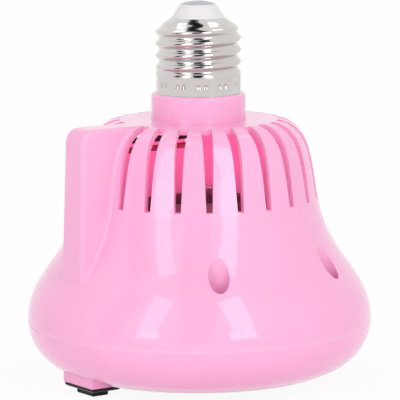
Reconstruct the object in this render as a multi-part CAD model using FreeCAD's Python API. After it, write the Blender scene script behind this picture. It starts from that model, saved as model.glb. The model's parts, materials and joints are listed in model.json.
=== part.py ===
import FreeCAD
import Part
import math
import os

# Fan heater lamp with an E27 screw cap.
# Millimetres. +Z runs up along the cap axis and the origin is the tip of the centre contact,
# so everything hangs below Z 0. The side wiring box and the switch are on the -X side.

# Screw cap
CREST_R = 13.12
ROOT_R = 12.0
PITCH = 3.629
CONTACT_R = 5.3
CONTACT_H = 0.95
CONTACT_LEDGE = 0.1
INSULATOR_H = 4.05
INSULATOR_FOOT = 3.3
CAP_MOUTH_R = 8.05
CAP_SHOULDER_H = 4.6
CREST_DROP = 5.86
CAP_H = 28.17
SKIRT_R = 13.05
SKIRT_H = 5.9
THREAD_WALL = 0.5
SHELL_LIP = 0.8
STEM_R = 2.2
STEM_H = 9.4
PANELS = 12
PANEL_W = 6.0
PANEL_DEPTH = 0.3
PANEL_ROUND = 1.2
PANEL_DROP = 0.5
DIMPLE_ANGLE = 4.3
DIMPLE_RISE = 2.9
DIMPLE_DEPTH = 0.55
DIMPLE_BALL_R = 1.2

# Neck
NECK_H = 8.07
COLLAR_R = 14.5
COLLAR_ROUND = 1.0
SPIGOT_R = 12.25
SPIGOT_H = 6.4
NECK_BORE_R = 9.8

# Bell. The outline is a radius at each share of the height from the shoulder down to the base
BELL_H = 77.68
DOME_FLAT_R = 23.23
SHOULDER_R = 33.79
SHOULDER_H = 8.63
SHOULDER_PULL_TOP = 5.04
SHOULDER_PULL_SIDE = 5.84
BELL_RADII = [35.79, 37.60, 40.80, 45.98, 51.00, 53.00, 51.60, 46.80, 43.26]
BELL_SHARES = [0.1448, 0.2896, 0.4055, 0.5214, 0.6372, 0.7531, 0.8617, 0.9486, 0.9776]
BASE_R = 38.72
BASE_PULL = 2.0
SEAM_H = 15.08
SEAM_DEPTH = 0.25
SEAM_EDGE_H = 0.5
WALL = 2.0
LOWER_WALL = 2.6
STEP_DEPTH = 14.63

# Vent slots
SLOT_COUNT = 24
SLOT_H = 23.98
SLOT_INNER_R = 24.3
SLOT_TOP_WIDTH = 3.3
SLOT_BOTTOM_WIDTH = 1.95

# Side wiring box
BOX_RISE = 0.1
BOX_SHARE = 0.6945
BOX_TOP_X = 45.65
BOX_LOW_X = 47.3
BOX_TOP_HALF = 5.1
BOX_LOW_HALF = 5.95
BOX_INNER_X = 18.0
BOX_CORNER = 4.4
BOX_EDGE = 1.5
BOX_CREASE = 1.0
BOX_WALL = 2.0

# Screw wells
WELL_X = 20.2
WELL_Y = 39.0
WELL_R = 3.2
WELL_WALL = 1.8
WELL_RISE = 5.97
WELL_FLOOR_T = 2.5
SCREW_R = 1.5
SCREW_CLEAR = 0.2
HEAD_R = 2.8
HEAD_H = 2.0
HEAD_CHAMFER = 0.4
CROSS_W = 0.8
CROSS_DEPTH = 0.9
COVER_BOSS_R = 4.0
COVER_SCREW_L = 14.0

# Bottom cover
FLOOR_T = 2.25
LIP_H = 3.07
LIP_GAP = 0.15
LIP_T = 1.1
COVER_SHARES = [0.17, 0.33, 0.51]
COVER_LIP_SHARE = 0.73
FLOOR_ROUND = 3.6

# Heater stack
FIN_ROWS = 3
FIN_W = 8.0
PTC_T = 3.0
FIN_SHEET = 0.4
FIN_FOLDS = 9
HEATER_HALF_Y = 15.0
HEATER_RISE_SHARE = 0.2415
END_CAP_LIP = 1.0
END_CAP_T = 5.9
END_CAP_RISE = 1.0
CUTOUT_L = 15.0
CUTOUT_W = 6.0
CUTOUT_H = 3.5
FUSE_R = 1.9
FUSE_L = 10.0

# Air duct
DUCT_BORE_GAP = 0.68
DUCT_WALL = 2.0
DUCT_FLANGE = 4.0
DUCT_PLATE_T = 2.0
DUCT_FOOT_T = 2.0
DUCT_LEDGE = 2.5
DUCT_LEDGE_T = 1.5
DUCT_BOSS_R = 3.4
DUCT_BOSS_H = 3.0
DUCT_HEADROOM = 7.49943
EAR_PAD_R = 3.6
EAR_ANGLES = [0.0, 90.0, 270.0]
DUCT_SCREW_R = 1.25
DUCT_SCREW_BITE = 1.2
DUCT_HEAD_R = 2.4
DUCT_HEAD_H = 1.6

# Outlet grille
GRILLE_MARGIN = 4.4
GRILLE_T = 1.0
GRILLE_BAR = 1.5
GRILLE_RIM = 4.0
GRILLE_GAP = 6.0
GRILLE_RINGS = 3
GRILLE_HUB_R = 7.0
GRILLE_SPOKES = 6
SPOKE_W = 2.0

# Switch
SWITCH_GAP = 1.0
SWITCH_DROP = 0.3
SWITCH_BOSS_RIM = 0.3
SWITCH_BOSS_H = 2.0
FLANGE_X = 10.0
FLANGE_Y = 15.3
FLANGE_T = 1.25
FLANGE_CHAMFER = 0.45
SWITCH_BODY_X = 8.4
SWITCH_BODY_Y = 13.4
SWITCH_BODY_H = 11.0
ROCKER_X = 5.6
ROCKER_Y = 8.6
ROCKER_DROP = 3.2
ROCKER_TOP = 2.2
ROCKER_ROUND = 0.5
ROCKER_SIDE_GAP = 0.15
ROCKER_END_GAP = 0.6
CAVITY_H = 5.4
PIVOT_RISE = 2.2
PIVOT_R = 0.8
PIVOT_GAP = 0.05
PIVOT_REACH = 0.55
BLADE_X = 3.0
BLADE_T = 0.5
BLADE_H = 6.4
BLADE_Y = 3.5
BLADE_EYE_R = 0.6
BLADE_EYE_DROP = 2.4

# Fan
FAN_DROP = 3.15
FAN_SIDE = 50.0
FAN_H = 15.0
FAN_CORNER = 3.0
FAN_FLANGE_T = 3.0
FAN_RIM = 1.5
FAN_HOLE_INSET = 5.0
FAN_TIP_GAP = 1.1
STRUTS = 4
STRUT_W = 3.0
STRUT_ANGLE = 20.0
HUB_R = 12.4
HUB_WALL = 1.2
HUB_ROUND = 0.8
HUB_DROP = 1.0
HUB_H = 10.0
MOTOR_BASE_T = 2.0
BLADES = 7
FAN_BLADE_T = 1.0
BLADE_CHORDS = [10.5, 13.0, 15.0]
BLADE_ROOT_ANGLE = 48.0
BLADE_TIP_ANGLE = 32.0
SHAFT_R = 1.0
SHAFT_GAP = 0.05
SHAFT_COVER = 0.3
SHAFT_FLOOR = 1.0
SHAFT_BOSS_R = 2.0
SHAFT_BOSS_H = 0.9
BEARING_R = 2.4
BEARING_WALL = 1.0
BEARING_GAP = 0.3
STATOR_GAP = 0.9
STATOR_CORE_R = 5.2
STATOR_ARM = 5.0
STATOR_INSET = 1.5

# Leads
LEAD_R = 0.9
LEAD_BEND = 5.0
NEUTRAL_BEND = 3.0
LEAD_SIDE = 1.6
LEAD_SPACE = 2.7
LIVE_RUN_DROP = 5.23
NEUTRAL_RUN_DROP = 7.53
LEAD_HOLE_R = 1.6
LINK_R = 0.5
LINK_BEND = 1.5

# Levels down the axis
CAP_MOUTH_Z = -(CONTACT_H + INSULATOR_H)
COLLAR_TOP_Z = -CAP_H
THREAD_END_Z = COLLAR_TOP_Z + SKIRT_H
SPIGOT_TOP_Z = COLLAR_TOP_Z + SPIGOT_H
DOME_Z = COLLAR_TOP_Z - NECK_H
SHOULDER_Z = DOME_Z - SHOULDER_H
STEP_Z = DOME_Z - STEP_DEPTH
SLOT_BOTTOM_Z = DOME_Z - SLOT_H
BASE_Z = DOME_Z - BELL_H
SEAM_Z = BASE_Z + SEAM_H
BOX_TOP_Z = DOME_Z + BOX_RISE
BOX_LOW_Z = DOME_Z - BOX_SHARE * BELL_H
WELL_FLOOR_Z = SEAM_Z + WELL_RISE
WELL_BOSS_Z = WELL_FLOOR_Z - WELL_FLOOR_T
FLOOR_Z = BASE_Z + FLOOR_T
GRILLE_TOP_Z = FLOOR_Z + GRILLE_T
FAN_TOP_Z = SLOT_BOTTOM_Z - FAN_DROP
FAN_LOW_Z = FAN_TOP_Z - FAN_H
DUCT_H = FAN_LOW_Z - GRILLE_TOP_Z
HEATER_LOW_Z = GRILLE_TOP_Z + HEATER_RISE_SHARE * DUCT_H
HEATER_H = FAN_LOW_Z - DUCT_PLATE_T - DUCT_HEADROOM - HEATER_LOW_Z
HEATER_TOP_Z = HEATER_LOW_Z + HEATER_H + END_CAP_RISE
FLANGE_TOP_Z = BASE_Z - SWITCH_DROP
TERMINAL_TOP_Z = FLANGE_TOP_Z + SWITCH_BODY_H + BLADE_H
PIVOT_Z = FLANGE_TOP_Z + PIVOT_RISE

# Sizes that follow from the ones above
THREAD_MEAN_R = (CREST_R + ROOT_R) / 2
THREAD_BORE_R = ROOT_R - THREAD_WALL
STACK_HALF_X = (FIN_ROWS * FIN_W + (FIN_ROWS - 1) * PTC_T) / 2
END_CAP_HALF_X = STACK_HALF_X + END_CAP_LIP
CUTOUT_Y = HEATER_HALF_Y + END_CAP_T / 2
DUCT_BORE_R = math.hypot(END_CAP_HALF_X, HEATER_HALF_Y + END_CAP_T) + DUCT_BORE_GAP
DUCT_R = DUCT_BORE_R + DUCT_WALL
OUTLET_R = DUCT_R + DUCT_WALL
GRILLE_R = DUCT_R + GRILLE_MARGIN
EAR_R = GRILLE_R + EAR_PAD_R
SWITCH_X = -(GRILLE_R + SWITCH_GAP + SWITCH_BOSS_RIM + FLANGE_X / 2)
FAN_BORE_R = FAN_SIDE / 2 - FAN_RIM
FAN_HOLE = FAN_SIDE / 2 - FAN_HOLE_INSET
FAN_BLADE_R = FAN_BORE_R - FAN_TIP_GAP
HUB_ROOF_Z = FAN_TOP_Z - HUB_DROP - HUB_WALL
BEARING_TOP_Z = HUB_ROOF_Z - SHAFT_BOSS_H - BEARING_GAP
LEAD_Z = HEATER_TOP_Z + CUTOUT_H / 2
CORNERS = [(-1, -1), (-1, 1), (1, -1), (1, 1)]


def vec(x, y, z):
    return FreeCAD.Vector(x, y, z)


def rz(r, z):
    return FreeCAD.Vector(r, 0, z)


def line(a, b):
    return Part.LineSegment(a, b).toShape()


def spin(edges):
    face = Part.Face(Part.Wire(edges))
    return face.revolve(vec(0, 0, 0), vec(0, 0, 1), 360)


def lathe(points):
    pts = [rz(r, z) for r, z in points]
    return spin(Part.makePolygon(pts + [pts[0]]).Edges)


def disc(r, z_low, z_high, x=0.0, y=0.0):
    return Part.makeCylinder(r, z_high - z_low, vec(x, y, z_low))


def ring(r_out, r_in, z_low, z_high):
    return disc(r_out, z_low, z_high).cut(disc(r_in, z_low, z_high))


def block(x0, x1, y0, y1, z0, z1):
    return Part.makeBox(x1 - x0, y1 - y0, z1 - z0, vec(x0, y0, z0))


def turned(shape, angle):
    copy = shape.copy()
    copy.rotate(vec(0, 0, 0), vec(0, 0, 1), angle)
    return copy


def fused(shapes):
    return shapes[0].multiFuse(shapes[1:]).removeSplitter()


def bezier(points):
    curve = Part.BezierCurve()
    curve.setPoles(points)
    return curve.toShape()


def smooth(points):
    curve = Part.BSplineCurve()
    curve.interpolate(points)
    return curve


def bell_z(share):
    return SHOULDER_Z + share * (BASE_Z - SHOULDER_Z)


# Bell outline, from the shoulder down to the base round
OUTLINE = smooth([rz(SHOULDER_R, SHOULDER_Z)] + [rz(r, bell_z(t)) for r, t in zip(BELL_RADII, BELL_SHARES)])


def outline_at(z):
    low = OUTLINE.FirstParameter
    high = OUTLINE.LastParameter
    for _ in range(50):
        mid = (low + high) / 2
        if OUTLINE.value(mid).z > z:
            low = mid
        else:
            high = mid
    return low


def outer_r(z):
    return OUTLINE.value(outline_at(z)).x


def inner_r(z, wall):
    slope = OUTLINE.tangent(outline_at(z))[0]
    return outer_r(z) - wall * math.sqrt(1 + (slope.x / slope.z) ** 2)


def outline_piece(z_high, z_low):
    curve = OUTLINE.copy()
    curve.segment(outline_at(z_high), outline_at(z_low))
    return curve.toShape()


def base_round():
    side = OUTLINE.tangent(OUTLINE.LastParameter)[0]
    side.normalize()
    end = OUTLINE.value(OUTLINE.LastParameter)
    base = rz(BASE_R, BASE_Z)
    return bezier([end, end + side * BASE_PULL, base + vec(BASE_PULL, 0, 0), base])


def shoulder_poles(shift):
    side = OUTLINE.tangent(OUTLINE.FirstParameter)[0]
    side.normalize()
    out = vec(-side.z, 0, side.x)
    scale = 1 - shift / (SHOULDER_R - DOME_FLAT_R)
    a = rz(DOME_FLAT_R, DOME_Z - shift)
    b = a + vec(SHOULDER_PULL_TOP * scale, 0, 0)
    d = rz(SHOULDER_R, SHOULDER_Z) - out * shift
    c = d - side * (SHOULDER_PULL_SIDE * scale)
    return [a, b, c, d]


def bell_outside():
    shoulder = shoulder_poles(0)
    a = rz(COLLAR_R - COLLAR_ROUND, COLLAR_TOP_Z)
    b = rz(COLLAR_R, COLLAR_TOP_Z - COLLAR_ROUND)
    k = COLLAR_ROUND * (1 - math.sqrt(0.5))
    c = rz(COLLAR_R, DOME_Z)
    edge_z = SEAM_Z + SEAM_EDGE_H
    edge = rz(outer_r(SEAM_Z) - SEAM_DEPTH, SEAM_Z)
    edges = [line(rz(0, COLLAR_TOP_Z), a),
             Part.Arc(a, rz(COLLAR_R - k, COLLAR_TOP_Z - k), b).toShape(),
             line(b, c),
             line(c, shoulder[0]),
             bezier(shoulder),
             outline_piece(SHOULDER_Z, edge_z),
             line(rz(outer_r(edge_z), edge_z), edge),
             line(edge, rz(0, SEAM_Z)),
             line(rz(0, SEAM_Z), rz(0, COLLAR_TOP_Z))]
    return spin(edges)


def bell_inside():
    shoulder = shoulder_poles(WALL)
    step = rz(inner_r(STEP_Z, WALL), STEP_Z)
    lows = [STEP_Z + (SEAM_Z - STEP_Z) * i / 7 for i in range(8)]
    lower = [rz(inner_r(z, LOWER_WALL), z) for z in lows]
    edges = [line(rz(0, DOME_Z - WALL), shoulder[0]),
             bezier(shoulder),
             line(shoulder[3], step),
             line(step, lower[0]),
             smooth(lower).toShape(),
             line(lower[-1], rz(0, SEAM_Z)),
             line(rz(0, SEAM_Z), rz(0, DOME_Z - WALL))]
    return spin(edges)


def tapered_box(x_top, x_low, half_top, half_low, z_top, z_low):
    def frame(x, half, z):
        return Part.makePolygon([vec(-x, -half, z), vec(-BOX_INNER_X, -half, z), vec(-BOX_INNER_X, half, z),
                                 vec(-x, half, z), vec(-x, -half, z)])
    return Part.makeLoft([frame(x_low, half_low, z_low), frame(x_top, half_top, z_top)], True, True)


def box_share(z):
    return (BOX_TOP_Z - z) / (BOX_TOP_Z - BOX_LOW_Z)


def box_x(z):
    return BOX_TOP_X + box_share(z) * (BOX_LOW_X - BOX_TOP_X)


def box_half(z):
    return BOX_TOP_HALF + box_share(z) * (BOX_LOW_HALF - BOX_TOP_HALF)


def side_box():
    solid = tapered_box(BOX_TOP_X, BOX_LOW_X, BOX_TOP_HALF, BOX_LOW_HALF, BOX_TOP_Z, BOX_LOW_Z)

    def at_top(edge):
        return all(abs(v.Z - BOX_TOP_Z) < 0.01 for v in edge.Vertexes)

    top_edge = [e for e in solid.Edges if at_top(e) and all(v.X < -BOX_TOP_X + 0.01 for v in e.Vertexes)]
    solid = solid.makeFillet(BOX_CORNER, top_edge)
    rims = {}
    for edge in solid.Edges:
        mid = edge.valueAt((edge.FirstParameter + edge.LastParameter) / 2)
        side = abs(abs(mid.y) - box_half(mid.z)) < 0.02
        outer = mid.x < -(BOX_INNER_X + BOX_TOP_X) / 2 and mid.z > BOX_LOW_Z + BOX_EDGE
        along = at_top(edge) and abs(edge.Vertexes[0].X - edge.Vertexes[-1].X) > BOX_CORNER
        if along or (side and outer):
            rims[edge.hashCode()] = edge
    return solid.makeFillet(BOX_EDGE, list(rims.values()))


def side_box_inside():
    high = DOME_Z - WALL
    low = BOX_LOW_Z + BOX_WALL / 2
    return tapered_box(box_x(high) - BOX_WALL, box_x(low) - BOX_WALL, box_half(high) - BOX_WALL,
                       box_half(low) - BOX_WALL, high, low)


def creased(solid):
    edges = []
    for edge in solid.Edges:
        mid = edge.valueAt((edge.FirstParameter + edge.LastParameter) / 2)
        side = abs(abs(mid.y) - box_half(mid.z)) < 0.02
        if side and mid.z < BOX_TOP_Z - BOX_CREASE and mid.x > 2 * BOX_EDGE - box_x(mid.z):
            edges.append(edge)
    return solid.makeFillet(BOX_CREASE, edges)


def slot_cutter():
    top = DOME_Z + WALL
    grow = (SLOT_TOP_WIDTH - SLOT_BOTTOM_WIDTH) / SLOT_H
    half_top = (SLOT_TOP_WIDTH + grow * WALL) / 2
    half_low = SLOT_BOTTOM_WIDTH / 2
    pts = [vec(SLOT_INNER_R, -half_low, SLOT_BOTTOM_Z), vec(SLOT_INNER_R, half_low, SLOT_BOTTOM_Z),
           vec(SLOT_INNER_R, half_top, top), vec(SLOT_INNER_R, -half_top, top)]
    face = Part.Face(Part.makePolygon(pts + [pts[0]]))
    return face.extrude(vec(outer_r(SLOT_BOTTOM_Z) + WALL - SLOT_INNER_R, 0, 0))


def well_places():
    return [(sx * WELL_X, sy * WELL_Y) for sx, sy in CORNERS]


def bell_housing():
    outside = creased(bell_outside().fuse(side_box()))
    shell = outside.cut(bell_inside().fuse(side_box_inside()))
    skin = bell_outside()
    bosses = [disc(WELL_R + WELL_WALL, WELL_BOSS_Z, SLOT_BOTTOM_Z, x, y).common(skin) for x, y in well_places()]
    shell = shell.multiFuse(bosses + [disc(SPIGOT_R, COLLAR_TOP_Z, SPIGOT_TOP_Z)])
    tools = [disc(NECK_BORE_R, DOME_Z - WALL, SPIGOT_TOP_Z)]
    for x, y in well_places():
        tools.append(disc(WELL_R, WELL_FLOOR_Z, SLOT_BOTTOM_Z, x, y))
        tools.append(disc(SCREW_R + SCREW_CLEAR, WELL_BOSS_Z, WELL_FLOOR_Z, x, y))
    cutter = slot_cutter()
    for i in range(SLOT_COUNT):
        if i != SLOT_COUNT // 2:
            tools.append(turned(cutter, 360.0 * i / SLOT_COUNT))
    return shell.cut(Part.makeCompound(tools)).removeSplitter()


def bottom_cover():
    lip_r = inner_r(SEAM_Z, LOWER_WALL) - LIP_GAP
    lip_in = lip_r - LIP_T
    lip_z = SEAM_Z + LIP_H
    lip_low = FLOOR_Z + COVER_LIP_SHARE * (SEAM_Z - FLOOR_Z)
    edge = rz(outer_r(SEAM_Z) - SEAM_DEPTH, SEAM_Z)
    edge_z = SEAM_Z - SEAM_DEPTH
    heights = [FLOOR_Z + t * (SEAM_Z - FLOOR_Z) for t in COVER_SHARES]
    inner = [rz(inner_r(z, WALL), z) for z in heights]
    foot = rz(inner[0].x - FLOOR_ROUND, FLOOR_Z)
    outer = [line(edge, rz(outer_r(edge_z), edge_z)),
             outline_piece(edge_z, bell_z(BELL_SHARES[-1])),
             base_round()]
    edges = [line(rz(lip_in, lip_z), rz(lip_r, lip_z)),
             line(rz(lip_r, lip_z), rz(lip_r, SEAM_Z)),
             line(rz(lip_r, SEAM_Z), edge)]
    edges += outer
    edges += [line(rz(BASE_R, BASE_Z), rz(OUTLET_R, BASE_Z)),
              line(rz(OUTLET_R, BASE_Z), rz(OUTLET_R, FLOOR_Z)),
              line(rz(OUTLET_R, FLOOR_Z), foot),
              smooth([foot] + inner + [rz(lip_in, lip_low)]).toShape(),
              line(rz(lip_in, lip_low), rz(lip_in, lip_z))]
    cover = spin(edges)
    skin = spin([line(rz(0, SEAM_Z), edge)] + outer
                + [line(rz(BASE_R, BASE_Z), rz(0, BASE_Z)), line(rz(0, BASE_Z), rz(0, SEAM_Z))])
    adds = []
    for x, y in well_places():
        low = disc(COVER_BOSS_R, BASE_Z, SEAM_Z, x, y).common(skin)
        adds.append(low.fuse(disc(COVER_BOSS_R, SEAM_Z, WELL_BOSS_Z, x, y)))
    for angle in EAR_ANGLES:
        adds.append(turned(disc(EAR_PAD_R, FLOOR_Z, GRILLE_TOP_Z, EAR_R, 0), angle))
    half_x = FLANGE_X / 2 + SWITCH_BOSS_RIM
    half_y = FLANGE_Y / 2 + SWITCH_BOSS_RIM
    boss_top = FLOOR_Z + SWITCH_BOSS_H
    adds.append(block(SWITCH_X - half_x, SWITCH_X + half_x, -half_y, half_y, FLANGE_TOP_Z, boss_top))
    cover = cover.multiFuse(adds)
    tools = [block(SWITCH_X - SWITCH_BODY_X / 2, SWITCH_X + SWITCH_BODY_X / 2,
                   -SWITCH_BODY_Y / 2, SWITCH_BODY_Y / 2, FLANGE_TOP_Z, boss_top + WALL)]
    for x, y in well_places():
        tools.append(disc(SCREW_R, WELL_FLOOR_Z - COVER_SCREW_L, WELL_BOSS_Z, x, y))
    for angle in EAR_ANGLES:
        tools.append(turned(disc(DUCT_SCREW_R, FLOOR_Z - DUCT_SCREW_BITE, GRILLE_TOP_Z, EAR_R, 0), angle))
    return cover.cut(Part.makeCompound(tools)).removeSplitter()


def outlet_grille():
    parts = [ring(GRILLE_R, GRILLE_R - GRILLE_RIM, FLOOR_Z, GRILLE_TOP_Z), disc(GRILLE_HUB_R, FLOOR_Z, GRILLE_TOP_Z)]
    for i in range(GRILLE_RINGS):
        r = GRILLE_HUB_R + GRILLE_GAP * (i + 1)
        parts.append(ring(r, r - GRILLE_BAR, FLOOR_Z, GRILLE_TOP_Z))
    for i in range(GRILLE_SPOKES):
        bar = block(GRILLE_HUB_R / 2, GRILLE_R - GRILLE_RIM / 2, -SPOKE_W / 2, SPOKE_W / 2, FLOOR_Z, GRILLE_TOP_Z)
        parts.append(turned(bar, 360.0 * (i + 0.5) / GRILLE_SPOKES))
    return fused(parts)


def cap_section(z):
    depth = CAP_MOUTH_Z - z
    if depth < CAP_SHOULDER_H:
        return CAP_MOUTH_R + (THREAD_MEAN_R - CAP_MOUTH_R) * math.sin(math.pi / 2 * depth / CAP_SHOULDER_H)
    t = max(0.0, min(1.0, (THREAD_END_Z + PITCH / 2 - z) / (PITCH / 2)))
    return THREAD_MEAN_R + (SKIRT_R - THREAD_MEAN_R) * t * t * (3 - 2 * t)


def cap_throw(z):
    rise = (CAP_MOUTH_Z - z) / CAP_SHOULDER_H * 1.2 - 0.16
    fall = (z - THREAD_END_Z) / (PITCH * 0.7)
    t = max(0.0, min(1.0, rise, fall))
    return (CREST_R - ROOT_R) / 2 * t * t * (3 - 2 * t)


def shell_inside():
    mid = CAP_MOUTH_Z - 0.4 * CAP_SHOULDER_H
    low = CAP_MOUTH_Z - 0.7 * CAP_SHOULDER_H
    return [(CAP_MOUTH_R, CAP_MOUTH_Z), (CAP_MOUTH_R, CAP_MOUTH_Z - SHELL_LIP),
            (cap_section(mid) - 2 * THREAD_WALL, mid), (cap_section(low) - 2 * THREAD_WALL, low)]


def cap_shell():
    steps = 30
    start = CAP_MOUTH_Z - 0.88 * CAP_SHOULDER_H
    levels = [CAP_MOUTH_Z - t * CAP_SHOULDER_H for t in (0, 0.06, 0.17, 0.32, 0.5, 0.7)]
    levels += [start - (start - THREAD_END_Z) * i / steps for i in range(steps + 1)]
    wires = []
    for z in levels:
        angle = 2 * math.pi * (z - CAP_MOUTH_Z + CREST_DROP) / PITCH
        throw = cap_throw(z)
        circle = Part.Circle(vec(throw * math.cos(angle), throw * math.sin(angle), z), vec(0, 0, 1),
                             cap_section(z))
        wires.append(Part.Wire(circle.toShape()))
    body = Part.makeLoft(wires, True, False).fuse(disc(SKIRT_R, COLLAR_TOP_Z, THREAD_END_Z))
    inside = lathe([(0, CAP_MOUTH_Z)] + shell_inside()
                   + [(THREAD_BORE_R, CAP_MOUTH_Z - CAP_SHOULDER_H), (THREAD_BORE_R, SPIGOT_TOP_Z),
                      (SPIGOT_R, SPIGOT_TOP_Z), (SPIGOT_R, COLLAR_TOP_Z), (0, COLLAR_TOP_Z)])
    body = body.cut(inside)
    panel = block(SKIRT_R - PANEL_DEPTH, CREST_R + PANEL_DEPTH, -PANEL_W / 2, PANEL_W / 2,
                  COLLAR_TOP_Z - PANEL_ROUND, THREAD_END_Z - PANEL_DROP)
    corners = [e for e in panel.Edges if e.BoundBox.XLength > PANEL_DEPTH
               and e.BoundBox.ZMin > THREAD_END_Z - PANEL_DROP - 0.01]
    panel = panel.makeFillet(PANEL_ROUND, [e for e in corners if e.BoundBox.YLength < 0.01])
    ball = Part.makeSphere(DIMPLE_BALL_R, vec(SKIRT_R + DIMPLE_BALL_R - DIMPLE_DEPTH, 0,
                                              COLLAR_TOP_Z + DIMPLE_RISE))
    tools = []
    for i in range(PANELS):
        angle = 360.0 * i / PANELS
        tools.append(fused([turned(panel, angle), turned(ball, angle - DIMPLE_ANGLE),
                            turned(ball, angle + DIMPLE_ANGLE)]))
    return body.cut(Part.makeCompound(tools))


def cap_insulator():
    top = -CONTACT_H
    low = CAP_MOUTH_Z - INSULATOR_FOOT
    wide = shell_inside()[2]
    return lathe([(STEM_R, top), (CONTACT_R + CONTACT_LEDGE, top)] + shell_inside()[:3]
                 + [(wide[0], low), (STEM_R, low)])


def cap_contact():
    r = (CONTACT_R ** 2 + CONTACT_H ** 2) / (2 * CONTACT_H)
    a = 0.5 * math.asin(CONTACT_R / r)
    mid = rz(r * math.sin(a), r * math.cos(a) - r)
    edges = [Part.Arc(rz(0, 0), mid, rz(CONTACT_R, -CONTACT_H)).toShape(),
             line(rz(CONTACT_R, -CONTACT_H), rz(STEM_R, -CONTACT_H)),
             line(rz(STEM_R, -CONTACT_H), rz(STEM_R, -STEM_H)),
             line(rz(STEM_R, -STEM_H), rz(0, -STEM_H)),
             line(rz(0, -STEM_H), rz(0, 0))]
    return spin(edges)


def screw(x, y, z_seat, length, r, head_r, head_h):
    shank = disc(r, z_seat - length, z_seat, x, y)
    head = disc(head_r, z_seat, z_seat + head_h, x, y)
    top = [e for e in head.Edges if abs(e.BoundBox.ZMin - (z_seat + head_h)) < 1e-6]
    head = head.makeChamfer(HEAD_CHAMFER, top)
    arm = head_r * 0.55
    cross = block(-arm, arm, -CROSS_W / 2, CROSS_W / 2, z_seat + head_h - CROSS_DEPTH, z_seat + 2 * head_h)
    cross = cross.fuse(turned(cross, 90))
    cross.translate(vec(x, y, 0))
    return shank.fuse(head).cut(cross)


def cover_screws():
    return Part.makeCompound([screw(x, y, WELL_FLOOR_Z, COVER_SCREW_L, SCREW_R, HEAD_R, HEAD_H)
                              for x, y in well_places()])


def switch_body():
    half_x = SWITCH_BODY_X / 2
    half_y = SWITCH_BODY_Y / 2
    low = FLANGE_TOP_Z - FLANGE_T
    body = block(-half_x, half_x, -half_y, half_y, FLANGE_TOP_Z, FLANGE_TOP_Z + SWITCH_BODY_H)
    flange = block(-FLANGE_X / 2, FLANGE_X / 2, -FLANGE_Y / 2, FLANGE_Y / 2, low, FLANGE_TOP_Z)
    flange = flange.makeChamfer(FLANGE_CHAMFER, [e for e in flange.Edges if e.BoundBox.ZMax < low + 1e-6])
    cavity_x = ROCKER_X / 2 + ROCKER_SIDE_GAP
    cavity_y = ROCKER_Y / 2 + ROCKER_END_GAP
    cavity = block(-cavity_x, cavity_x, -cavity_y, cavity_y, low, FLANGE_TOP_Z + CAVITY_H)
    bore = Part.makeCylinder(PIVOT_R + PIVOT_GAP, SWITCH_BODY_X, vec(-half_x, 0, PIVOT_Z), vec(1, 0, 0))
    solid = body.fuse(flange).cut(cavity.fuse(bore))
    solid.translate(vec(SWITCH_X, 0, 0))
    return solid


def switch_rocker():
    half = ROCKER_X / 2
    low = FLANGE_TOP_Z - ROCKER_DROP
    solid = block(-half, half, -ROCKER_Y / 2, ROCKER_Y / 2, low, PIVOT_Z + ROCKER_TOP)
    solid = solid.makeFillet(ROCKER_ROUND, [e for e in solid.Edges if e.BoundBox.ZMax < low + 1e-6])
    reach = half + PIVOT_REACH
    solid = solid.fuse(Part.makeCylinder(PIVOT_R, 2 * reach, vec(-reach, 0, PIVOT_Z), vec(1, 0, 0)))
    solid.translate(vec(SWITCH_X, 0, 0))
    return solid


def switch_terminal(y):
    z = FLANGE_TOP_Z + SWITCH_BODY_H
    blade = block(-BLADE_X / 2, BLADE_X / 2, -BLADE_T / 2, BLADE_T / 2, z, TERMINAL_TOP_Z)
    eye = vec(0, -BLADE_T / 2, TERMINAL_TOP_Z - BLADE_EYE_DROP)
    blade = blade.cut(Part.makeCylinder(BLADE_EYE_R, BLADE_T, eye, vec(0, 1, 0)))
    blade.translate(vec(SWITCH_X, y, 0))
    return blade


def fan_plate(z_low, z_high):
    half = FAN_SIDE / 2
    plate = block(-half, half, -half, half, z_low, z_high)
    corners = [e for e in plate.Edges if e.BoundBox.ZLength > 0.5]
    return plate.makeFillet(FAN_CORNER, corners)


def fan_frame():
    frame = fan_plate(FAN_TOP_Z - FAN_FLANGE_T, FAN_TOP_Z).fuse(fan_plate(FAN_LOW_Z, FAN_LOW_Z + FAN_FLANGE_T))
    frame = frame.fuse(disc(FAN_SIDE / 2, FAN_LOW_Z, FAN_TOP_Z))
    frame = frame.cut(disc(FAN_BORE_R, FAN_LOW_Z, FAN_TOP_Z))
    base_r = HUB_R - HUB_WALL / 3
    parts = [disc(base_r, FAN_LOW_Z, FAN_LOW_Z + MOTOR_BASE_T),
             disc(BEARING_R + BEARING_WALL, FAN_LOW_Z, BEARING_TOP_Z)]
    for i in range(STRUTS):
        bar = block(base_r - HUB_WALL, FAN_BORE_R + FAN_RIM / 2, -STRUT_W / 2, STRUT_W / 2,
                    FAN_LOW_Z, FAN_LOW_Z + MOTOR_BASE_T)
        parts.append(turned(bar, 360.0 * i / STRUTS + STRUT_ANGLE))
    frame = frame.multiFuse(parts)
    tools = [disc(BEARING_R, FAN_LOW_Z + SHAFT_FLOOR, FAN_TOP_Z)]
    for sx, sy in CORNERS:
        tools.append(disc(SCREW_R + SCREW_CLEAR, FAN_LOW_Z, FAN_TOP_Z, sx * FAN_HOLE, sy * FAN_HOLE))
    return frame.cut(Part.makeCompound(tools)).removeSplitter()


def blade_section(r, angle, chord, z):
    a = math.radians(angle)
    across = vec(0, math.cos(a), math.sin(a))
    thick = vec(0, -math.sin(a), math.cos(a))
    centre = vec(r, 0, z)
    half = chord / 2
    t = FAN_BLADE_T / 2
    pts = [centre - across * half - thick * t, centre + across * half - thick * t,
           centre + across * half + thick * t, centre - across * half + thick * t]
    return Part.makePolygon(pts + [pts[0]])


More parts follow.
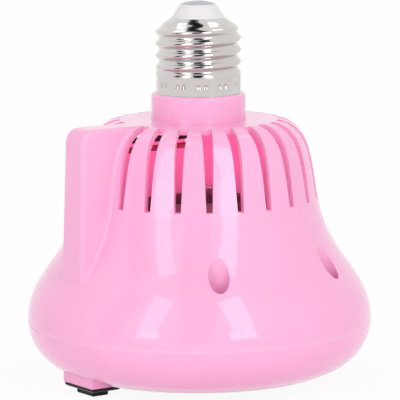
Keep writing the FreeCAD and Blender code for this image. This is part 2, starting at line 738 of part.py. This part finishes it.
def fan_rotor():
    top = FAN_TOP_Z - HUB_DROP
    low = top - HUB_H
    hub = disc(HUB_R, low, top).cut(disc(HUB_R - HUB_WALL, low, HUB_ROOF_Z))
    rim = [e for e in hub.Edges if abs(e.BoundBox.ZMin - top) < 1e-6 and e.BoundBox.XLength > HUB_R]
    hub = hub.makeFillet(HUB_ROUND, rim)
    hub = hub.fuse(disc(SHAFT_BOSS_R, HUB_ROOF_Z - SHAFT_BOSS_H, HUB_ROOF_Z))
    hub = hub.cut(disc(SHAFT_R, HUB_ROOF_Z - SHAFT_BOSS_H, top - SHAFT_COVER))
    mid = (top + low) / 2
    radii = [HUB_R - 0.6 * HUB_WALL, (HUB_R + FAN_BORE_R) / 2, FAN_BLADE_R + FAN_TIP_GAP / 4]
    angles = [BLADE_ROOT_ANGLE, (BLADE_ROOT_ANGLE + BLADE_TIP_ANGLE) / 2, BLADE_TIP_ANGLE]
    sections = [blade_section(r, a, c, mid) for r, a, c in zip(radii, angles, BLADE_CHORDS)]
    blade = Part.makeLoft(sections, True, True).common(ring(FAN_BLADE_R, HUB_R - HUB_WALL / 2, low, top))
    return hub.multiFuse([turned(blade, 360.0 * i / BLADES) for i in range(BLADES)])


def fan_shaft():
    return disc(SHAFT_R, FAN_LOW_Z + SHAFT_FLOOR, FAN_TOP_Z - HUB_DROP - SHAFT_COVER)


def fan_bearing():
    return ring(BEARING_R, SHAFT_R + SHAFT_GAP, FAN_LOW_Z + SHAFT_FLOOR, BEARING_TOP_Z)


def fan_stator():
    low = FAN_LOW_Z + MOTOR_BASE_T
    high = BEARING_TOP_Z - BEARING_GAP
    reach = HUB_R - HUB_WALL - STATOR_GAP
    core = disc(STATOR_CORE_R, low, high)
    for i in range(4):
        arm = block(0, reach, -STATOR_ARM / 2, STATOR_ARM / 2, low + STATOR_INSET, high - STATOR_INSET / 2)
        core = core.fuse(turned(arm, 90.0 * i + 45.0))
    return core.cut(disc(BEARING_R + BEARING_WALL, low, high))


def fan_screws():
    length = FAN_H + DUCT_PLATE_T + DUCT_BOSS_H - DUCT_LEDGE_T / 3
    return Part.makeCompound([screw(sx * FAN_HOLE, sy * FAN_HOLE, FAN_TOP_Z, length, SCREW_R, HEAD_R, HEAD_H)
                              for sx, sy in CORNERS])


def air_duct():
    plate_low = FAN_LOW_Z - DUCT_PLATE_T
    boss_low = plate_low - DUCT_BOSS_H
    foot_top = GRILLE_TOP_Z + DUCT_FOOT_T
    parts = [ring(DUCT_R + DUCT_FLANGE, FAN_BORE_R, plate_low, FAN_LOW_Z),
             ring(DUCT_R, DUCT_BORE_R, GRILLE_TOP_Z, plate_low),
             ring(GRILLE_R, DUCT_BORE_R, GRILLE_TOP_Z, foot_top),
             ring(DUCT_R, DUCT_BORE_R - DUCT_LEDGE, HEATER_LOW_Z - DUCT_LEDGE_T, HEATER_LOW_Z)]
    for sx, sy in CORNERS:
        parts.append(disc(DUCT_BOSS_R, boss_low, FAN_LOW_Z, sx * FAN_HOLE, sy * FAN_HOLE))
    for angle in EAR_ANGLES:
        ear = disc(EAR_PAD_R, GRILLE_TOP_Z, foot_top, EAR_R, 0)
        arm = block(DUCT_BORE_R, EAR_R, -EAR_PAD_R, EAR_PAD_R, GRILLE_TOP_Z, foot_top)
        parts.append(turned(ear.fuse(arm), angle))
    duct = parts[0].multiFuse(parts[1:])
    tools = [disc(SCREW_R, boss_low, FAN_LOW_Z, sx * FAN_HOLE, sy * FAN_HOLE) for sx, sy in CORNERS]
    for angle in EAR_ANGLES:
        tools.append(turned(disc(DUCT_SCREW_R, GRILLE_TOP_Z, foot_top, EAR_R, 0), angle))
    reach = DUCT_R - END_CAP_HALF_X + DUCT_WALL
    for side in (-1, 1):
        tools.append(Part.makeCylinder(LEAD_HOLE_R, reach, vec(-DUCT_R - DUCT_WALL, side * CUTOUT_Y, LEAD_Z),
                                       vec(1, 0, 0)))
    return duct.cut(Part.makeCompound(tools)).removeSplitter()


def duct_screws():
    seat = GRILLE_TOP_Z + DUCT_FOOT_T
    length = DUCT_FOOT_T + GRILLE_T + DUCT_SCREW_BITE
    one = screw(EAR_R, 0, seat, length, DUCT_SCREW_R, DUCT_HEAD_R, DUCT_HEAD_H)
    return Part.makeCompound([turned(one, angle) for angle in EAR_ANGLES])


def fin_block(index):
    x0 = -STACK_HALF_X + index * (FIN_W + PTC_T)
    x1 = x0 + FIN_W
    z0 = HEATER_LOW_Z
    half = HEATER_HALF_Y
    plates = [block(x0, x0 + FIN_SHEET, -half, half, z0, z0 + HEATER_H),
              block(x1 - FIN_SHEET, x1, -half, half, z0, z0 + HEATER_H)]
    shift = FIN_SHEET / 2
    step = 2 * (half - shift) / (2 * FIN_FOLDS)
    ends = (x0 + shift, x1 - shift)
    folds = []
    for i in range(2 * FIN_FOLDS):
        xa = ends[i % 2]
        xb = ends[1 - i % 2]
        ya = -half + shift + i * step
        pts = [vec(xa, ya - shift, z0), vec(xb, ya + step - shift, z0),
               vec(xb, ya + step + shift, z0), vec(xa, ya + shift, z0)]
        fold = Part.Face(Part.makePolygon(pts + [pts[0]])).extrude(vec(0, 0, HEATER_H))
        folds.append(fold)
    return fused(plates + folds)


def ptc_bar(index):
    x0 = -STACK_HALF_X + FIN_W + index * (FIN_W + PTC_T)
    return block(x0, x0 + PTC_T, -HEATER_HALF_Y, HEATER_HALF_Y, HEATER_LOW_Z, HEATER_LOW_Z + HEATER_H)


def heater_end(side):
    near = HEATER_HALF_Y
    far = near + END_CAP_T
    bar = block(-END_CAP_HALF_X, END_CAP_HALF_X, near, far, HEATER_LOW_Z, HEATER_TOP_Z)
    posts = [e for e in bar.Edges if e.BoundBox.ZLength > 1 and abs(e.BoundBox.YMin - far) < 1e-6]
    bar = bar.makeFillet(END_CAP_LIP, posts)
    return bar if side > 0 else turned(bar, 180)


def thermostat():
    case = block(-CUTOUT_L / 2, CUTOUT_L / 2, -CUTOUT_Y - CUTOUT_W / 2, -CUTOUT_Y + CUTOUT_W / 2,
                 HEATER_TOP_Z, HEATER_TOP_Z + CUTOUT_H)
    rims = [e for e in case.Edges if e.BoundBox.XLength > 1]
    return case.makeFillet(CUTOUT_H / 4, rims)


def thermal_fuse():
    rod = Part.makeCylinder(FUSE_R, FUSE_L, vec(-FUSE_L / 2, CUTOUT_Y, HEATER_TOP_Z + FUSE_R), vec(1, 0, 0))
    rims = [e for e in rod.Edges if e.BoundBox.XLength < 1e-6]
    return rod.makeChamfer(FUSE_R / 4, rims)


def lead(points, r, bend):
    edges = []
    pts = [vec(*p) for p in points]
    start = pts[0]
    for i in range(1, len(pts) - 1):
        to_last = (pts[i - 1] - pts[i]).normalize()
        to_next = (pts[i + 1] - pts[i]).normalize()
        angle = to_last.getAngle(to_next)
        cut = bend / math.tan(angle / 2)
        a = pts[i] + to_last * cut
        b = pts[i] + to_next * cut
        inward = (to_last + to_next).normalize()
        m = pts[i] + inward * (bend / math.sin(angle / 2) - bend)
        edges.append(line(start, a))
        edges.append(Part.Arc(a, m, b).toShape())
        start = b
    edges.append(line(start, pts[-1]))
    path = Part.Wire(edges)
    face = Part.Wire(Part.Circle(pts[0], pts[1] - pts[0], r).toShape())
    tube = path.makePipeShell([face], True, False)
    ratio = tube.Volume / (math.pi * r * r * path.Length)
    print("lead", round(path.Length, 1), "mm, bends", bend, "mm, volume ratio", round(ratio, 4))
    return tube


def live_lead():
    run = DOME_Z - LIVE_RUN_DROP
    neck = DOME_Z + NECK_H / 2
    box_end = BOX_LOW_Z + SWITCH_BODY_H
    return lead([(0, 0, -STEM_H), (0, 0, SPIGOT_TOP_Z), (0, LEAD_SIDE, neck), (0, LEAD_SIDE, run),
                 (SWITCH_X, LEAD_SIDE, run), (SWITCH_X, LEAD_SIDE, box_end),
                 (SWITCH_X, BLADE_Y, BOX_LOW_Z), (SWITCH_X, BLADE_Y, TERMINAL_TOP_Z)],
                LEAD_R, NEUTRAL_BEND)


def neutral_lead():
    z = HEATER_TOP_Z + FUSE_R
    run = DOME_Z - NEUTRAL_RUN_DROP
    solder = THREAD_END_Z + 1.75 * PITCH
    x = SWITCH_X - LEAD_SPACE
    mid = (run + BOX_LOW_Z) / 2
    return lead([(THREAD_BORE_R - SHAFT_GAP / 2, 0, solder), (NECK_BORE_R - CONTACT_R + LEAD_R, 0, solder),
                 (LEAD_SPACE, -LEAD_SIDE, COLLAR_TOP_Z), (-STEM_R - LEAD_SIDE, -LEAD_SIDE, run),
                 (x, -LEAD_SIDE, run), (x, -LEAD_SIDE, mid), (x - LEAD_R / 2, 0, BOX_LOW_Z + LEAD_BEND),
                 (SWITCH_X, CUTOUT_Y - LEAD_BEND, BOX_LOW_Z + LEAD_SPACE),
                 (-DUCT_R - DUCT_FLANGE, CUTOUT_Y, z), (-FUSE_L / 2, CUTOUT_Y, z)],
                LEAD_R, NEUTRAL_BEND)


def switch_lead():
    return lead([(SWITCH_X, -BLADE_Y, TERMINAL_TOP_Z), (SWITCH_X, -BLADE_Y, LEAD_Z),
                 (-DUCT_R - FAN_HOLE_INSET, -CUTOUT_Y, LEAD_Z), (-CUTOUT_L / 2, -CUTOUT_Y, LEAD_Z)],
                LEAD_R, LEAD_BEND)


def link(side, start, z):
    x = END_CAP_HALF_X - NEUTRAL_BEND
    return lead([(start, side * CUTOUT_Y, z), (x, side * CUTOUT_Y, z), (x, side * CUTOUT_Y, HEATER_TOP_Z)],
                LINK_R, LINK_BEND)


def main():
    os.makedirs("parts", exist_ok=True)
    nodes = {
        "bell_housing": bell_housing(),
        "bottom_cover": bottom_cover(),
        "outlet_grille": outlet_grille(),
        "cap_shell": cap_shell(),
        "cap_insulator": cap_insulator(),
        "cap_contact": cap_contact(),
        "cover_screws": cover_screws(),
        "switch_body": switch_body(),
        "switch_rocker": switch_rocker(),
        "switch_terminal_live": switch_terminal(BLADE_Y),
        "switch_terminal_load": switch_terminal(-BLADE_Y),
        "fan_frame": fan_frame(),
        "fan_rotor": fan_rotor(),
        "fan_shaft": fan_shaft(),
        "fan_bearing": fan_bearing(),
        "fan_stator": fan_stator(),
        "fan_screws": fan_screws(),
        "air_duct": air_duct(),
        "duct_screws": duct_screws(),
        "heater_end_left": heater_end(-1),
        "heater_end_right": heater_end(1),
        "thermostat": thermostat(),
        "thermal_fuse": thermal_fuse(),
        "live_lead": live_lead(),
        "neutral_lead": neutral_lead(),
        "switch_lead": switch_lead(),
        "thermostat_link": link(-1, CUTOUT_L / 2, LEAD_Z),
        "fuse_link": link(1, FUSE_L / 2, HEATER_TOP_Z + FUSE_R),
    }
    for i in range(FIN_ROWS):
        nodes["heater_fins_%d" % (i + 1)] = fin_block(i)
    for i in range(FIN_ROWS - 1):
        nodes["ptc_bar_%d" % (i + 1)] = ptc_bar(i)
    total = 0
    for name, shape in nodes.items():
        points, faces = shape.tessellate(0.1)
        total += len(faces)
        print(name, shape.isValid(), len(shape.Solids), round(shape.Volume, 1), len(faces))
        shape.exportStep("parts/%s.step" % name)
    print("facets", total)


main()
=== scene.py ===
import bpy
import json
import math
from mathutils import Matrix, Vector


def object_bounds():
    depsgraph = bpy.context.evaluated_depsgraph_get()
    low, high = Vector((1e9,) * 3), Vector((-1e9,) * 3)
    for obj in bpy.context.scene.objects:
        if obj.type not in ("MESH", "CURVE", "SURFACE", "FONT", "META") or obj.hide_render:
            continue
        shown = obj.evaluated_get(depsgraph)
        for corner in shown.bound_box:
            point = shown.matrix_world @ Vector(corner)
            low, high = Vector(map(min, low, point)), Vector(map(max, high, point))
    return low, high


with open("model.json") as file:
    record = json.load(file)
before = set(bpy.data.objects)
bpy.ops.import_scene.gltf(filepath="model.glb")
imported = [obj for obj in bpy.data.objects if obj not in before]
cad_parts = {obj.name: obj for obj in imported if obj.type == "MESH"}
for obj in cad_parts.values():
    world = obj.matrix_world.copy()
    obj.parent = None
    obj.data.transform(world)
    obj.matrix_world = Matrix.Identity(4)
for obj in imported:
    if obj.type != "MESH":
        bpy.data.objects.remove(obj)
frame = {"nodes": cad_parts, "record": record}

# Metres. The lamp hangs under Z 0, and azimuths run from the -Y side toward +X.
cad_low, cad_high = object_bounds()

# Camera: the direction that it looks from, its distance, and its focal length in pixels
VIEW_AZ = math.radians(-35.0)
VIEW_EL = math.radians(8.73)
VIEW_ROLL = math.radians(-0.26)
VIEW_DIST = 1.016
LOOK_Z = -0.06157
FOCAL_PX = 3299.2
IMAGE_PX = 400.0
AXIS_PX = 198.9
SENSOR_MM = 36.0
CLIP_NEAR = 0.05
CLIP_FAR = 50.0

# Light that reaches the object from the world, and white as the camera and reflections see it
WORLD_SOFT = 0.59
WHITE = 1.0
FLOOR_GREY = 0.96
FLOOR_WHITE_SHARE = 0.93
FLOOR_HALF = 6.0
FLOOR_GAP = 0.0002

# Softboxes: azimuth and elevation from the camera's side, distance, width, height,
# radiance, and whether reflections show them
SOFTBOXES = {
    "softbox_left_low": (-34.4, 7.0, 1.0, 0.26, 0.175, 4.0, True),
    "softbox_left_high": (-34.0, 32.5, 1.0, 0.24, 0.76, 2.8, True),
    "softbox_right_low": (28.4, 7.0, 1.0, 0.31, 0.175, 4.3, True),
    "softbox_right_high": (29.0, 32.5, 1.0, 0.26, 0.76, 3.6, True),
    "softbox_high_left": (-124.0, 63.0, 1.24, 0.27, 0.34, 1.4, True),
    "softbox_high_right": (124.0, 63.0, 1.24, 0.27, 0.34, 1.4, True),
    "softbox_back": (180.0, 30.0, 1.3, 1.4, 0.8, 0.8, False),
}

# Dark cards that only reflections show: azimuth, elevation, distance, width, height
DARK_CARDS = {
    "card_front": (-2.0, 31.0, 1.5, 0.62, 2.0),
    "card_over": (0.0, 90.0, 1.3, 0.40, 1.1),
    "card_left": (-61.0, 24.0, 1.4, 0.4, 1.3),
}
CARD_BLACK = (0.01, 0.01, 0.012, 1)

# Light that comes through the thin wall and fills the dome
GLOW_COLOUR = (1.0, 0.3, 0.52)
GLOW_Z = -0.049
GLOW_R = 0.016
GLOW_WATTS = 0.031

# Plastics: the two colours that the mottle runs between, least and most roughness
PLASTICS = {
    "white_plastic": ((0.76, 0.74, 0.75), (0.79, 0.77, 0.78), (0.22, 0.28)),
    "duct_plastic": ((0.10, 0.09, 0.09), (0.13, 0.12, 0.12), (0.45, 0.6)),
    "grille_steel": ((0.62, 0.62, 0.61), (0.68, 0.68, 0.67), (0.35, 0.45)),
    "end_cap_plastic": ((0.03, 0.03, 0.03), (0.05, 0.05, 0.05), (0.5, 0.6)),
    "fuse_body": ((0.66, 0.62, 0.52), (0.72, 0.68, 0.58), (0.3, 0.4)),
    "black_insulation": ((0.012, 0.008, 0.01), (0.02, 0.014, 0.017), (0.4, 0.5)),
    "red_insulation": ((0.32, 0.045, 0.085), (0.37, 0.055, 0.10), (0.4, 0.5)),
}

# Metals: the same, and how far the grain is drawn out along each axis
METALS = {
    "contact_metal": ((0.42, 0.43, 0.45), (0.48, 0.49, 0.51), (0.25, 0.35), (1, 1, 1)),
    "screw_steel": ((0.58, 0.58, 0.58), (0.66, 0.66, 0.65), (0.25, 0.35), (1, 1, 1)),
    "terminal_brass": ((0.78, 0.58, 0.26), (0.70, 0.50, 0.22), (0.25, 0.4), (1, 1, 1)),
    "shaft_steel": ((0.60, 0.60, 0.60), (0.68, 0.68, 0.68), (0.15, 0.25), (1, 1, 8)),
    "bearing_bronze": ((0.55, 0.33, 0.14), (0.62, 0.40, 0.18), (0.4, 0.55), (1, 1, 1)),
    "stator_iron": ((0.35, 0.18, 0.09), (0.42, 0.24, 0.12), (0.4, 0.6), (1, 1, 12)),
    "fin_aluminium": ((0.74, 0.75, 0.76), (0.82, 0.83, 0.84), (0.25, 0.45), (1, 1, 6)),
    "cutout_metal": ((0.62, 0.62, 0.61), (0.70, 0.70, 0.69), (0.3, 0.45), (1, 1, 1)),
}

# The seam between housing and cover gets a painted highlight, a lighter pink band along its
# edges: the seam's height, the band's reach, colour and share
SEAM_Z = -0.0987
SEAM_HIGHLIGHT_REACH = 0.0006
SEAM_HIGHLIGHT_COLOUR = (1.0, 0.61, 0.82, 1)
SEAM_HIGHLIGHT_SHARE = 0.85

# Noise scales per metre, the part of the noise that is used, and bump depths in metres
MOTTLE_SCALE = 35.0
MOTTLE_ENDS = (0.35, 0.65)
SHEEN_SCALE = 120.0
SHEEN_ENDS = (0.3, 0.7)
COAT_ROUGHNESS = 0.03
MOULD_GRAIN_SCALE = 900.0
MOULD_GRAIN_STRENGTH = 0.12
MOULD_GRAIN_DEPTH = 0.00002
METAL_MOTTLE_SCALE = 60.0
METAL_SHEEN_SCALE = 160.0
METAL_GRAIN_SCALE = 640.0
METAL_GRAIN_STRENGTH = 0.1
METAL_GRAIN_DEPTH = 0.00001
CAP_GRAIN_DEPTH = 0.000002


def toward(azimuth, elevation):
    flat = math.cos(elevation)
    return Vector((math.sin(azimuth) * flat, -math.cos(azimuth) * flat, math.sin(elevation)))


def facing(direction, roll=0.0):
    turn = direction.to_track_quat("Z", "Y").to_matrix().to_4x4()
    return turn @ Matrix.Rotation(roll, 4, "Z")


def place_around(obj, azimuth, elevation, distance):
    out = toward(VIEW_AZ + math.radians(azimuth), math.radians(elevation))
    centre = Vector((0, 0, LOOK_Z))
    obj.matrix_world = Matrix.Translation(centre + out * distance) @ facing(out)


def add_object(name, data):
    obj = bpy.data.objects.new(name, data)
    bpy.context.scene.collection.objects.link(obj)
    return obj


def add_sheet(name, corners):
    mesh = bpy.data.meshes.new(name)
    mesh.from_pydata(corners, [], [(0, 1, 2, 3)])
    return add_object(name, mesh)


def make_camera():
    data = bpy.data.cameras.new("camera")
    cam = add_object("camera", data)
    out = toward(VIEW_AZ, VIEW_EL)
    spot = Vector((0, 0, LOOK_Z)) + out * VIEW_DIST
    cam.matrix_world = Matrix.Translation(spot) @ facing(out, VIEW_ROLL)
    data.sensor_width = SENSOR_MM
    data.lens = FOCAL_PX / IMAGE_PX * SENSOR_MM
    data.shift_x = (IMAGE_PX / 2 - AXIS_PX) / IMAGE_PX
    data.clip_start = CLIP_NEAR
    data.clip_end = CLIP_FAR
    bpy.context.scene.camera = cam


def new_material(name):
    mat = bpy.data.materials.new(name)
    mat.use_nodes = True
    tree = mat.node_tree
    return mat, tree, tree.nodes["Principled BSDF"]


def noise(tree, scale, detail=3.0, stretch=(1.0, 1.0, 1.0)):
    coords = tree.nodes.new("ShaderNodeTexCoord")
    mapping = tree.nodes.new("ShaderNodeMapping")
    mapping.inputs["Scale"].default_value = stretch
    tree.links.new(coords.outputs["Object"], mapping.inputs["Vector"])
    tex = tree.nodes.new("ShaderNodeTexNoise")
    tex.inputs["Scale"].default_value = scale
    tex.inputs["Detail"].default_value = detail
    tree.links.new(mapping.outputs["Vector"], tex.inputs["Vector"])
    return tex


def spread(tree, tex, low, high):
    ramp = tree.nodes.new("ShaderNodeMapRange")
    ramp.inputs["From Min"].default_value = SHEEN_ENDS[0]
    ramp.inputs["From Max"].default_value = SHEEN_ENDS[1]
    ramp.inputs["To Min"].default_value = low
    ramp.inputs["To Max"].default_value = high
    tree.links.new(tex.outputs["Fac"], ramp.inputs["Value"])
    return ramp.outputs["Result"]


def tint(tree, tex, first, second):
    node = tree.nodes.new("ShaderNodeValToRGB")
    for end, place, colour in zip(node.color_ramp.elements, MOTTLE_ENDS, (first, second)):
        end.position = place
        end.color = (*colour, 1)
    tree.links.new(tex.outputs["Fac"], node.inputs["Fac"])
    return node.outputs["Color"]


def maths(tree, operation, *values):
    node = tree.nodes.new("ShaderNodeMath")
    node.operation = operation
    for socket, value in zip(node.inputs, values):
        if isinstance(value, float):
            socket.default_value = value
        else:
            tree.links.new(value, socket)
    return node.outputs[0]


# Painted highlight: mixes a lighter pink into the colour near the seam's height, fading with
# distance from it
def painted_seam_highlight(tree, colour):
    coords = tree.nodes.new("ShaderNodeTexCoord")
    parts = tree.nodes.new("ShaderNodeSeparateXYZ")
    tree.links.new(coords.outputs["Object"], parts.inputs["Vector"])
    away = maths(tree, "ABSOLUTE", maths(tree, "SUBTRACT", parts.outputs["Z"], SEAM_Z))
    fade = tree.nodes.new("ShaderNodeMapRange")
    fade.inputs["From Max"].default_value = SEAM_HIGHLIGHT_REACH
    fade.inputs["To Min"].default_value = SEAM_HIGHLIGHT_SHARE
    fade.inputs["To Max"].default_value = 0.0
    tree.links.new(away, fade.inputs["Value"])
    mix = tree.nodes.new("ShaderNodeMixRGB")
    mix.inputs["Color2"].default_value = SEAM_HIGHLIGHT_COLOUR
    tree.links.new(fade.outputs["Result"], mix.inputs["Fac"])
    tree.links.new(colour, mix.inputs["Color1"])
    return mix.outputs["Color"]


def bump(tree, shader, tex, strength, distance):
    node = tree.nodes.new("ShaderNodeBump")
    node.inputs["Strength"].default_value = strength
    node.inputs["Distance"].default_value = distance
    tree.links.new(tex.outputs["Fac"], node.inputs["Height"])
    tree.links.new(node.outputs["Normal"], shader.inputs["Normal"])


def plastic(name, first, second, rough, spec=0.5, coat=0.0, with_seam_highlight=False):
    mat, tree, shader = new_material(name)
    colour = tint(tree, noise(tree, MOTTLE_SCALE), first, second)
    # Painted highlight along the seam between housing and cover
    if with_seam_highlight:
        colour = painted_seam_highlight(tree, colour)
    tree.links.new(colour, shader.inputs["Base Color"])
    sheen = spread(tree, noise(tree, SHEEN_SCALE), *rough)
    tree.links.new(sheen, shader.inputs["Roughness"])
    shader.inputs["Specular IOR Level"].default_value = spec
    shader.inputs["Coat Weight"].default_value = coat
    shader.inputs["Coat Roughness"].default_value = COAT_ROUGHNESS
    grain = noise(tree, MOULD_GRAIN_SCALE, 2.0)
    bump(tree, shader, grain, MOULD_GRAIN_STRENGTH, MOULD_GRAIN_DEPTH)
    return mat


def metal(name, first, second, rough, stretch=(1, 1, 1), depth=METAL_GRAIN_DEPTH):
    mat, tree, shader = new_material(name)
    shader.inputs["Metallic"].default_value = 1.0
    colour = tint(tree, noise(tree, METAL_MOTTLE_SCALE), first, second)
    tree.links.new(colour, shader.inputs["Base Color"])
    sheen = spread(tree, noise(tree, METAL_SHEEN_SCALE, 4.0, stretch), *rough)
    tree.links.new(sheen, shader.inputs["Roughness"])
    grain = noise(tree, METAL_GRAIN_SCALE, 3.0, stretch)
    bump(tree, shader, grain, METAL_GRAIN_STRENGTH, depth)
    return mat


def make_materials():
    mats = {name: plastic(name, *look) for name, look in PLASTICS.items()}
    mats.update({name: metal(name, *look) for name, look in METALS.items()})
    mats["pink_plastic"] = plastic("pink_plastic", (0.975, 0.445, 0.7), (0.99, 0.46, 0.715),
                                   (0.22, 0.28), spec=0.1, coat=0.7, with_seam_highlight=True)
    mats["switch_black"] = plastic("switch_black", (0.014, 0.011, 0.014), (0.019, 0.015, 0.019),
                                   (0.28, 0.36), spec=0.12)
    mats["fan_black"] = plastic("fan_black", (0.07, 0.03, 0.045), (0.085, 0.038, 0.055),
                                (0.45, 0.55), spec=0.15)
    mats["cap_metal"] = metal("cap_metal", (0.60, 0.575, 0.555), (0.65, 0.625, 0.605),
                              (0.10, 0.16), depth=CAP_GRAIN_DEPTH)
    return mats


def dress_nodes(mats):
    for entry in frame["record"]["subparts"]:
        mat = mats[entry["material_slot"]]
        for place in frame["nodes"][entry["node"]].material_slots:
            place.material = mat


def white_for_camera(tree, shade, white, share):
    # The camera, reflections and glass see white, and only diffuse light takes the shade
    path = tree.nodes.new("ShaderNodeLightPath")
    seen = maths(tree, "MAXIMUM", path.outputs["Is Camera Ray"], path.outputs["Is Glossy Ray"])
    seen = maths(tree, "MAXIMUM", seen, path.outputs["Is Transmission Ray"])
    mix = tree.nodes.new("ShaderNodeMixShader")
    tree.links.new(maths(tree, "MULTIPLY", seen, share), mix.inputs["Fac"])
    tree.links.new(shade, mix.inputs[1])
    tree.links.new(white, mix.inputs[2])
    return mix.outputs[0]


def even_light(tree, kind, strength):
    node = tree.nodes.new(kind)
    node.inputs["Color"].default_value = (1.0, 1.0, 1.0, 1)
    node.inputs["Strength"].default_value = strength
    return node.outputs[0]


def make_world():
    world = bpy.data.worlds.new("studio")
    world.use_nodes = True
    tree = world.node_tree
    tree.nodes.clear()
    soft = even_light(tree, "ShaderNodeBackground", WORLD_SOFT)
    white = even_light(tree, "ShaderNodeBackground", WHITE)
    out = tree.nodes.new("ShaderNodeOutputWorld")
    tree.links.new(white_for_camera(tree, soft, white, 1.0), out.inputs["Surface"])
    bpy.context.scene.world = world


def make_floor():
    z = cad_low[2] - FLOOR_GAP
    half = FLOOR_HALF
    corners = [(-half, -half, z), (half, -half, z), (half, half, z), (-half, half, z)]
    floor = add_sheet("floor", corners)
    mat, tree, shader = new_material("floor_white")
    shader.inputs["Base Color"].default_value = (FLOOR_GREY, FLOOR_GREY, FLOOR_GREY, 1)
    shader.inputs["Roughness"].default_value = 0.9
    shader.inputs["Specular IOR Level"].default_value = 0.0
    white = even_light(tree, "ShaderNodeEmission", WHITE)
    surface = white_for_camera(tree, shader.outputs[0], white, FLOOR_WHITE_SHARE)
    tree.links.new(surface, tree.nodes["Material Output"].inputs["Surface"])
    floor.data.materials.append(mat)


def softbox(name, azimuth, elevation, distance, width, height, radiance, in_gloss):
    data = bpy.data.lights.new(name, "AREA")
    data.shape = "RECTANGLE"
    data.size = width
    data.size_y = height
    data.energy = radiance * math.pi * width * height
    lamp = add_object(name, data)
    place_around(lamp, azimuth, elevation, distance)
    lamp.visible_glossy = in_gloss


def inner_glow():
    data = bpy.data.lights.new("inner_glow", "POINT")
    data.color = GLOW_COLOUR
    data.shadow_soft_size = GLOW_R
    data.energy = GLOW_WATTS
    lamp = add_object("inner_glow", data)
    lamp.location = (0, 0, GLOW_Z)
    lamp.visible_camera = False
    lamp.visible_glossy = False


def dark_card(name, azimuth, elevation, distance, width, height):
    w, h = width / 2, height / 2
    card = add_sheet(name, [(-w, -h, 0), (w, -h, 0), (w, h, 0), (-w, h, 0)])
    mat, tree, shader = new_material(name)
    shader.inputs["Base Color"].default_value = CARD_BLACK
    shader.inputs["Roughness"].default_value = 1.0
    shader.inputs["Specular IOR Level"].default_value = 0.0
    card.data.materials.append(mat)
    place_around(card, azimuth, elevation, distance)
    card.visible_camera = False
    card.visible_diffuse = False
    card.visible_transmission = False
    card.visible_shadow = False


def make_lights():
    for name, place in SOFTBOXES.items():
        softbox(name, *place)
    inner_glow()
    for name, place in DARK_CARDS.items():
        dark_card(name, *place)


bpy.context.scene.view_settings.view_transform = "Standard"
make_camera()
dress_nodes(make_materials())
make_world()
make_floor()
make_lights()
